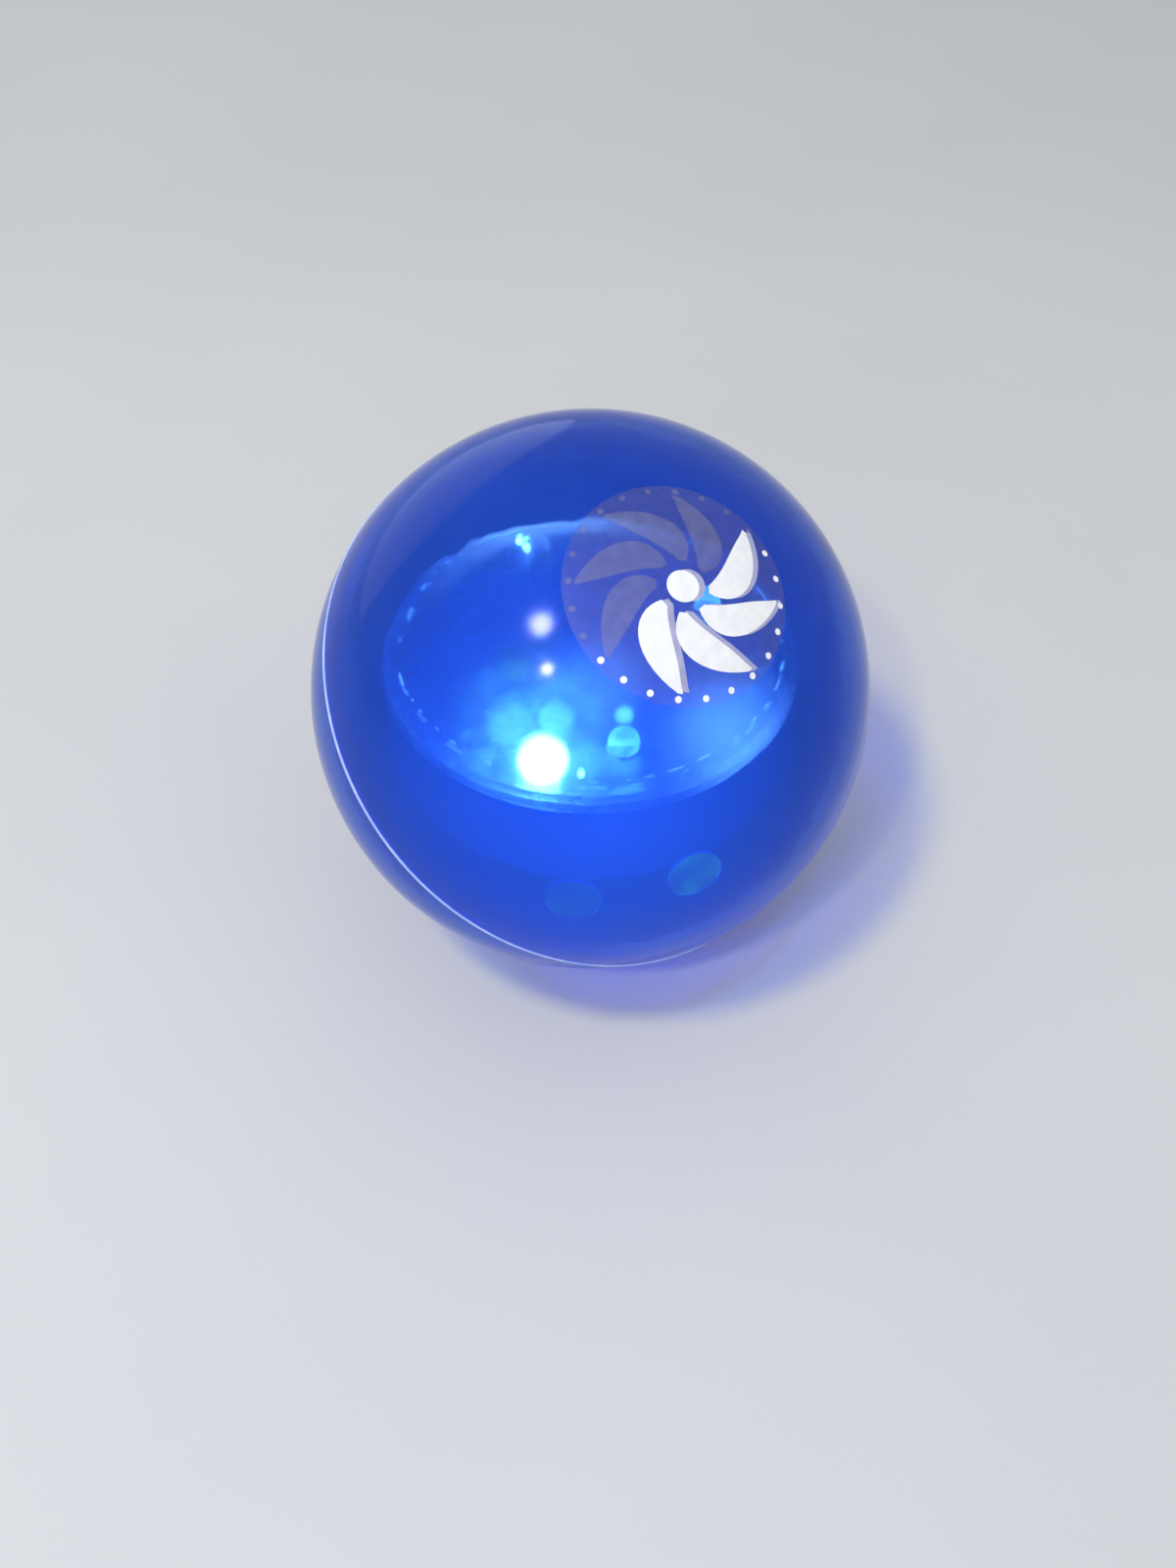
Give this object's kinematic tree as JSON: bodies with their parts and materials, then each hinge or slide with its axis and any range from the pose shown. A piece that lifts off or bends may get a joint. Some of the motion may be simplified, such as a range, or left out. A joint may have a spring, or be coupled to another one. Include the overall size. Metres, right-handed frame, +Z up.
{
  "type": "light-up bouncy ball",
  "caption": "Hollow clear blue play ball with a welded seam, a printed front and an impact-switched lamp unit with button cells sealed inside.",
  "frame": {"origin": "centre of the ball", "axes": "+Z up as the ball lies at rest; the seam's axis leans 36 degrees from +Z towards -Y, +X runs along the seam's plane, and the lamp unit's axis is +Z"},
  "size_m": [0.1004, 0.1, 0.1],
  "materials": {
    "shell_blue": "clear deep blue soft plastic, glossy",
    "weld_blue": "pale blue weld bead",
    "housing_grey": "moulded grey plastic",
    "cover_clear": "clear plastic",
    "screw_steel": "zinc plated",
    "board_blue": "blue solder mask",
    "resistor_black": "chip resistor",
    "capacitor_sleeve": "shrink sleeve",
    "chip_black": "black resin",
    "solder": "solder",
    "lens_lit": "clear resin, lit",
    "lens_clear": "clear resin",
    "leg_metal": "tinned",
    "contact_brass": "rolled strip",
    "spring_brass": "drawn wire",
    "holder_white": "moulded white plastic",
    "cell_steel": "nickel plated",
    "print_white": "white screen print on the front shell",
    "print_grey": "mauve grey screen print on the front shell"
  },
  "bodies": {
    "ball": {"front_shell": "shell_blue", "rear_shell": "shell_blue", "seam_weld": "weld_blue", "unit_base": "housing_grey", "unit_cover": "cover_clear", "housing_screws": "screw_steel", "stem_screw": "screw_steel", "circuit_board": "board_blue", "led_resistors": "resistor_black", "capacitor": "capacitor_sleeve", "controller_chip": "chip_black", "solder_joints": "solder", "led_lens_1": "lens_lit", "led_lens_2": "lens_clear", "led_lens_3": "lens_clear", "led_legs_1": "leg_metal", "led_legs_2": "leg_metal", "led_legs_3": "leg_metal", "switch_anchor": "contact_brass", "switch_pin": "contact_brass", "cell_holder": "holder_white", "button_cell_1": "cell_steel", "button_cell_2": "cell_steel", "button_cell_3": "cell_steel", "lower_bridge": "contact_brass", "upper_bridge": "contact_brass", "positive_terminal": "contact_brass", "negative_terminal": "contact_brass"},
    "impact_coil": {"switch_spring": "spring_brass"}
  },
  "joints": [
    {"name": "switch_sway", "type": "hinge", "parent": "ball", "child": "impact_coil", "pos_m": [-0.0095, 0.01, 0.0087], "axis": [0, 0, 1], "range_deg": [-3.7, 3.7], "stiffness_Nm_per_rad": 0.0005}
  ]
}
